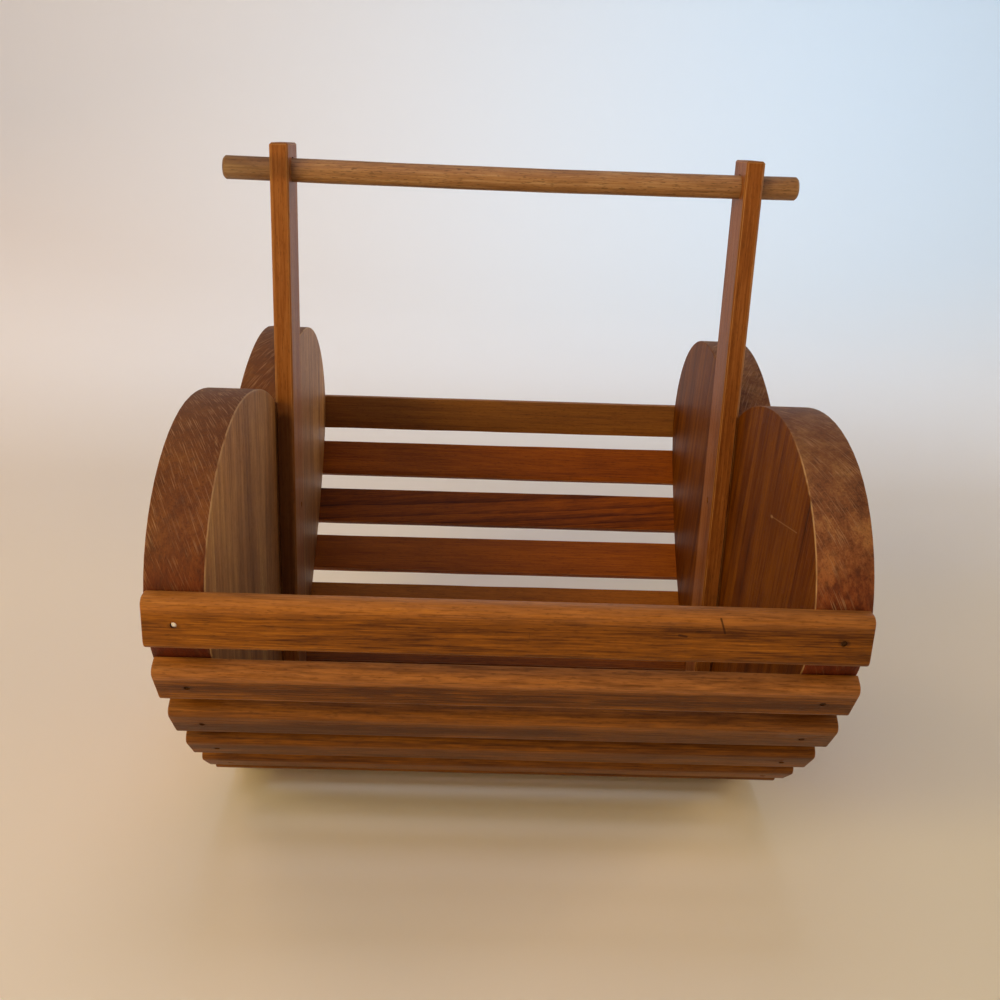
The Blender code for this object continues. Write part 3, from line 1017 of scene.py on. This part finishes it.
def fill_shoulder(shape, bulge):
    """The right board's front lobe was sawn fuller on its outer face."""
    spread = 0.4
    for vertex, share in outer_shares(shape):
        away = Vector((0, vertex.co.y + HEART_REACH / 2, vertex.co.z - HEART_WAIST))
        angle = math.atan2(-away.y, away.z)
        bump = math.exp(-(((angle - math.pi / 4) / spread) ** 2)) if away.z > 0 else 0
        vertex.co += away.normalized() * bump * bulge * share


def rim_place(place):
    """Across and along the rim, measured from the top of each lobe."""
    reach = HEART_REACH / 2
    rise = place.z - HEART_WAIST
    out = abs(place.y) - reach
    if rise > 0:
        along = math.atan2(out, rise) * reach
    else:
        along = math.pi / 2 * reach - rise
    return Vector((place.x, along, 0))


def rim_edges(shape):
    """The two outlines of a panel, without the edges of its nail holes."""
    low = min(v.co.x for v in shape.verts)
    high = max(v.co.x for v in shape.verts)
    centres = [box_centre(f"upright_{s}_nail_{n}") for s in SIDES for n in ("upper", "lower")]
    chosen = []
    for edge in shape.edges:
        flat = [abs(face.normal.x) > SQUARE for face in edge.link_faces]
        at_face = all(min(v.co.x - low, high - v.co.x) < LEVEL for v in edge.verts)
        hole = any(math.dist(edge.verts[0].co.yz, centre.yz) < NAIL_HOLE for centre in centres)
        if at_face and sorted(flat) == [False, True] and not hole:
            chosen.append(edge)
    return chosen


class BASKET_OT_slats(bpy.types.Operator):
    """Work the slats: ease their ends, let them wander and lay their grain lengthwise"""

    bl_idname = "basket.slats"
    bl_label = "Slats"

    def execute(self, context):
        scene = context.scene
        work = scene.basket_work
        looks = scene.basket_slat_looks

        # Thin sawn pine has long streaks that run off at its edges, and a low sheen
        wood = stained_wood("stained_pine_slat", looks, looks.specular, ACROSS, SLAT_NICKS)

        for index, node in enumerate(SLATS):
            shape = merged_copy(node)
            outward = -broad_normal(shape)
            across = outward.cross(ACROSS)
            centre = box_centre(node)
            ease(shape, square_slat_edges(shape, outward), work.slat_easing, 2)
            hold_flat(shape, outward, across, work.slat_easing)
            wander(shape, across, outward, work, index)
            trim_edges(shape, EDGE_TRIMS.get(node, (0, 0, 0, 0)), centre, across)
            trim_ends(shape, END_TRIMS.get(node, (0, 0)))
            seat_on_rim(shape, centre, outward, work.seat)
            close_round_nails(shape, node, outward, work.nail_gap)
            board = board_frame(node, index, ACROSS, across)
            nails = [f"{node}_nail_{side}" for side in SIDES]
            piece = finish_piece(shape, node, wood, board, nails=nails)
            painted_sheen_band = PAINTED_SHEEN.get(node, NO_PAINTED_SHEEN)
            layer_painted_sheen(piece.data, centre, across, GREYED.get(node, 0), *painted_sheen_band)
        return {"FINISHED"}


def square_slat_edges(shape, outward):
    """A slat's end edges and its two square edges on the inner face."""
    ends = max(abs(v.co.x) for v in shape.verts)
    inner = min(v.co.dot(outward) for v in shape.verts)
    chosen = []
    for edge in sharp_edges(shape, 60, 120):
        at_end = all(abs(v.co.x) > ends - LEVEL for v in edge.verts)
        at_inner = all(v.co.dot(outward) < inner + LEVEL for v in edge.verts)
        if at_end or (at_inner and edge.calc_length() > SLAT_ARRIS):
            chosen.append(edge)
    return chosen


def hold_flat(shape, outward, across, margin):
    """Cut two loops just inside the outer flat, so that it stays flat to the light."""
    top = max(v.co.dot(outward) for v in shape.verts)
    flat = [v.co.dot(across) for v in shape.verts if v.co.dot(outward) > top - LEVEL]
    for place in (min(flat) + margin, max(flat) - margin):
        slice_at(shape, across * place, across)


def wander(shape, across, outward, work, seed):
    """Cut loops along the piece and move them a little, most at its faces and edges."""
    ends = max(abs(v.co.x) for v in shape.verts)
    for station in range(1, work.stations):
        slice_at(shape, Vector((ends * (2 * station / work.stations - 1), 0, 0)), (1, 0, 0))
    middle = sum((v.co for v in shape.verts), Vector()) / len(shape.verts)
    for direction, row in ((across, 0), (outward, DIRECTION_ROWS)):
        offsets = [(v.co - middle).dot(direction) for v in shape.verts]
        reach = max(abs(offset) for offset in offsets)
        for vertex, offset in zip(shape.verts, offsets):
            side = math.copysign(1, offset)
            place = Vector((vertex.co.x / work.waver_length, seed * PIECE_ROWS + row, side))
            vertex.co += direction * noise.noise(place) * work.waver * abs(offset) / reach


def trim_ends(shape, trims):
    """Lengthen or shorten the two ends by a little."""
    low = min(v.co.x for v in shape.verts)
    high = max(v.co.x for v in shape.verts)
    reach = 0.002
    for vertex in shape.verts:
        if vertex.co.x < low + reach:
            vertex.co.x -= trims[0]
        elif vertex.co.x > high - reach:
            vertex.co.x += trims[1]


def trim_edges(shape, trims, centre, across):
    """Move a slat's upper and lower edges up by what they stand off at each end."""
    reach = max(abs(v.co.x) for v in shape.verts)
    upward = across if across.z > 0 else -across
    middle = centre.dot(upward)
    for vertex in shape.verts:
        right = (vertex.co.x / reach + 1) / 2
        first = 0 if vertex.co.dot(upward) > middle else 2
        move = trims[first] * (1 - right) + trims[first + 1] * right
        vertex.co += upward * move


def seat_on_rim(shape, centre, outward, depth):
    """Draw the inner face onto the panels' rims."""
    inner = centre.dot(outward)
    for vertex in shape.verts:
        if vertex.co.dot(outward) < inner:
            vertex.co -= outward * depth


def close_round_nails(shape, node, outward, gap):
    """Draw the wood in round each nail's head."""
    for side in SIDES:
        nail = [v.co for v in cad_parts[f"{node}_nail_{side}"].data.vertices]
        top = max(place.dot(outward) for place in nail)
        rim = [place for place in nail if place.dot(outward) > top - LEVEL]
        centre = sum(rim, Vector()) / len(rim)
        radius = max((place - centre).length for place in rim)
        for vertex in shape.verts:
            away = vertex.co - centre
            away -= outward * away.dot(outward)
            if radius + gap < away.length < radius + HOLE_MARGIN:
                vertex.co -= away * (1 - (radius + gap) / away.length)


class BASKET_OT_uprights(bpy.types.Operator):
    """Work the two uprights: soften their arrises and lay their grain upright"""

    bl_idname = "basket.uprights"
    bl_label = "Uprights"

    def execute(self, context):
        scene = context.scene
        looks = scene.basket_upright_looks

        # A planed pine strip has fine streaks up its length under a thin varnish
        wood = stained_wood("stained_pine_strip", looks, looks.specular, UP, UPRIGHT_MARKS_AND_SHADOW)

        for index, side in enumerate(SIDES):
            node = "upright_" + side
            shape = merged_copy(node)
            arrises = sharp_edges(shape, 30, 60)
            arrises = [edge for edge in arrises if edge.calc_length() > UPRIGHT_ARRIS]
            ease(shape, arrises, scene.basket_work.upright_easing, 2)
            nails = [f"{node}_nail_{level}" for level in ("upper", "lower")]
            between = (box_centre(nails[0]) + box_centre(nails[1])) / 2
            slice_at(shape, between, UP)
            outer = max(abs(v.co.x) for v in shape.verts)
            for vertex in shape.verts:
                if abs(vertex.co.x) > outer - LEVEL:
                    vertex.co.x += math.copysign(scene.basket_work.seat, vertex.co.x)
            board = board_frame(node, UPRIGHT_LOG + index, UP, BACK)
            finish_piece(shape, node, wood, board, "xyz", nails)
        return {"FINISHED"}


class BASKET_OT_dowel(bpy.types.Operator):
    """Work the dowel of the handle: soften its ends and lay its grain lengthwise"""

    bl_idname = "basket.dowel"
    bl_label = "Handle Dowel"

    def execute(self, context):
        scene = context.scene
        work = scene.basket_work
        looks = scene.basket_dowel_looks

        # Turned birch is paler, with short even fibres, and its varnish shines most
        wood = stained_wood("stained_birch_dowel", looks, looks.specular, ACROSS, DOWEL_STAINS)

        node = "handle_dowel"
        shape = merged_copy(node)
        ease(shape, sharp_edges(shape, 30, 60), work.upright_easing, 2)
        wander(shape, BACK, UP, work, DOWEL_LOG)
        reach = max(abs(v.co.x) for v in shape.verts)
        for vertex in shape.verts:
            vertex.co.z -= work.dowel_sag * math.cos(math.pi / 2 * vertex.co.x / reach)
        board = board_frame(node, DOWEL_LOG, ACROSS, BACK)
        finish_piece(shape, node, wood, board, "x")
        return {"FINISHED"}


class BASKET_OT_nails(bpy.types.Operator):
    """Dome the nail heads: one is still bright, the others are dull with stain"""

    bl_idname = "basket.nails"
    bl_label = "Nails"

    def execute(self, context):
        looks = context.scene.basket_nail_looks
        bright = wire_nail_steel("bright_wire_nail", looks.bright, looks.grime, 0.3, 0.2)
        dull = wire_nail_steel("stained_wire_nail", looks.dull, looks.grime, 0.5, 1)
        dome = context.scene.basket_work.nail_dome
        for node in sorted(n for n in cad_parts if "_nail_" in n or "brad" in n):
            shape = merged_copy(node)
            middle = box_centre(node)
            head = max(shape.faces, key=lambda f: (f.calc_center_median() - middle).length)
            for _ in range(HEAD_STEPS):
                bmesh.ops.inset_region(shape, faces=[head], thickness=dome * HEAD_INSET)
                rise = head.normal * dome / HEAD_STEPS
                bmesh.ops.translate(shape, verts=head.verts[:], vec=rise)
            board = Matrix.Translation(-middle)
            steel = bright if node == "slat_front_1_nail_left" else dull
            finish_piece(shape, node, steel, board)
        return {"FINISHED"}


# Stage


CAMERA_PLACE = (-0.01335, -0.44966, 0.27571)
CAMERA_TURN = (72.332, -2.168, -0.867)
CAMERA_SHIFT = (-0.0023, -0.0233)
SKY_COLOUR = "#fff3fa"
SKY_STRENGTH = 0.055

# Clouds to the metre in the floor's paint and how far they carry its painted light, then
# shares of the far edge: where the near painted light has changed on the right, and where
# the paler middle band of painted light has ended and starts to fade
FLOOR_CLOUDS = (3, 3, 3)
CLOUD_REACH = 0.1
RIGHT_REACH = 0.25
MIDDLE_END = 1.4
MIDDLE_FADE = 0.8

# Steps of the sweep and of the floor's turn, and how far it lies under the basket
SWEEP_STEPS = 16
FLOOR_TURNS = 96
FLOOR_DROP = 0.0002

# Name, place, what it looks at, width in metres, watts and colour
LIGHTS = (
    ("warm_lamp", (-0.9, -0.8, 0.8), (0, 0, 0.05), 0.5, 4.8, "#ffdb7e"),
    ("warm_front", (-0.6, -1.1, 0.55), (0, 0, 0.05), 0.5, 3.4, "#ffd285"),
    ("side_glow", (1.3, 0.25, 0.5), (0, 0, 0.1), 0.6, 5.9, "#ffd9a6"),
    ("left_glow", (-0.9, 0.7, 0.9), (0, 0, 0.1), 0.7, 2.6, "#ffcf96"),
    ("fill_left", (-0.4, -0.9, 1.2), (0, 0, 0.1), 0.6, 1.5, "#fff4eb"),
    ("fill_front", (0, -0.9, 1.3), (0, 0, 0.1), 0.6, 1.2, "#eccfff"),
    ("ceiling", (0, 0.1, 1.6), (0, 0, 0.1), 0.8, 2.6, "#eff3ff"),
    ("back_wash", (0.2, 0.75, 1.3), (0.2, 2.3, 0.88), 1, 15.3, "#f1f9ff"),
)


class BASKET_OT_stage(bpy.types.Operator):
    """Lay the pale floor with its sweep, and set the lights and the camera"""

    bl_idname = "basket.stage"
    bl_label = "Floor, Lights and Camera"

    def execute(self, context):
        stage = context.scene.basket_stage
        make_floor(stage)
        for name, place, target, width, watts, hex_colour in LIGHTS:
            lamp = bpy.data.lights.new(name, "AREA")
            lamp.shape = "DISK"
            lamp.size = width
            lamp.energy = watts
            lamp.color = linear(hex_colour)[:3]
            holder = bpy.data.objects.new(name, lamp)
            holder.location = place
            aim = Vector(target) - Vector(place)
            holder.rotation_euler = aim.to_track_quat("-Z", "Y").to_euler()
            holder.visible_camera = False
            context.scene.collection.objects.link(holder)
        make_sky(context.scene)
        make_camera(context.scene, stage)
        return {"FINISHED"}


def make_floor(stage):
    """A round floor that sweeps up into a wall, turned from one profile."""
    points = [(0, 0), (stage.floor_radius, 0)]
    for step in range(1, SWEEP_STEPS + 1):
        angle = math.pi / 2 * step / SWEEP_STEPS
        out = stage.floor_radius + stage.sweep_radius * math.sin(angle)
        points.append((out, stage.sweep_radius * (1 - math.cos(angle))))
    points.append((points[-1][0], stage.wall_height))
    shape = bmesh.new()
    chain = [shape.verts.new((x, 0, z - FLOOR_DROP)) for x, z in points]
    edges = [shape.edges.new(pair) for pair in zip(chain, chain[1:])]
    bmesh.ops.spin(
        shape,
        geom=chain + edges,
        axis=(0, 0, 1),
        cent=(0, 0, 0),
        angle=math.tau,
        steps=FLOOR_TURNS,
        use_merge=True,
    )
    bmesh.ops.remove_doubles(shape, verts=shape.verts[:], dist=MERGE)
    bmesh.ops.recalc_face_normals(shape, faces=shape.faces[:])
    mesh = bpy.data.meshes.new("floor")
    shape.to_mesh(mesh)
    shape.free()
    mesh.shade_smooth()
    mesh.materials.append(floor_with_painted_light("matt_floor_with_painted_light", stage))
    floor = bpy.data.objects.new("floor", mesh)
    bpy.context.scene.collection.objects.link(floor)


def make_sky(scene):
    world = bpy.data.worlds.new("soft_room")
    world.use_nodes = True
    background = world.node_tree.nodes["Background"]
    fill(world.node_tree, background, {"Color": linear(SKY_COLOUR), "Strength": SKY_STRENGTH})
    scene.world = world


def make_camera(scene, stage):
    camera = bpy.data.cameras.new("camera")
    camera.lens = stage.lens
    camera.shift_x, camera.shift_y = CAMERA_SHIFT
    camera.clip_start = 0.01
    holder = bpy.data.objects.new("camera", camera)
    holder.location = CAMERA_PLACE
    holder.rotation_euler = [math.radians(a) for a in CAMERA_TURN]
    scene.collection.objects.link(holder)
    scene.camera = holder
    scene.view_settings.view_transform = "Standard"


# Add-on


OPERATORS = (
    BASKET_OT_panels,
    BASKET_OT_slats,
    BASKET_OT_uprights,
    BASKET_OT_dowel,
    BASKET_OT_nails,
    BASKET_OT_stage,
)


class BASKET_PT_sidebar(bpy.types.Panel):
    """Lists the pieces and their settings"""

    bl_idname = "BASKET_PT_sidebar"
    bl_label = "Slatted Heart Basket"
    bl_space_type = "VIEW_3D"
    bl_region_type = "UI"
    bl_category = "Basket"

    def draw(self, context):
        for operator in OPERATORS:
            self.layout.operator(operator.bl_idname)
        for name in SETTINGS:
            group = getattr(context.scene, name)
            box = self.layout.box()
            for key in group.bl_rna.properties.keys():
                if key not in ("rna_type", "name"):
                    box.prop(group, key)


def register():
    for group in SETTINGS.values():
        bpy.utils.register_class(group)
    for name, group in SETTINGS.items():
        setattr(bpy.types.Scene, name, bpy.props.PointerProperty(type=group))
    for operator in OPERATORS:
        bpy.utils.register_class(operator)
    bpy.utils.register_class(BASKET_PT_sidebar)


def unregister():
    bpy.utils.unregister_class(BASKET_PT_sidebar)
    for operator in reversed(OPERATORS):
        bpy.utils.unregister_class(operator)
    for name, group in reversed(SETTINGS.items()):
        delattr(bpy.types.Scene, name)
        bpy.utils.unregister_class(group)


def main():
    register()
    bpy.ops.basket.panels()
    bpy.ops.basket.slats()
    bpy.ops.basket.uprights()
    bpy.ops.basket.dowel()
    bpy.ops.basket.nails()
    bpy.ops.basket.stage()


if __name__ == "__main__":
    main()
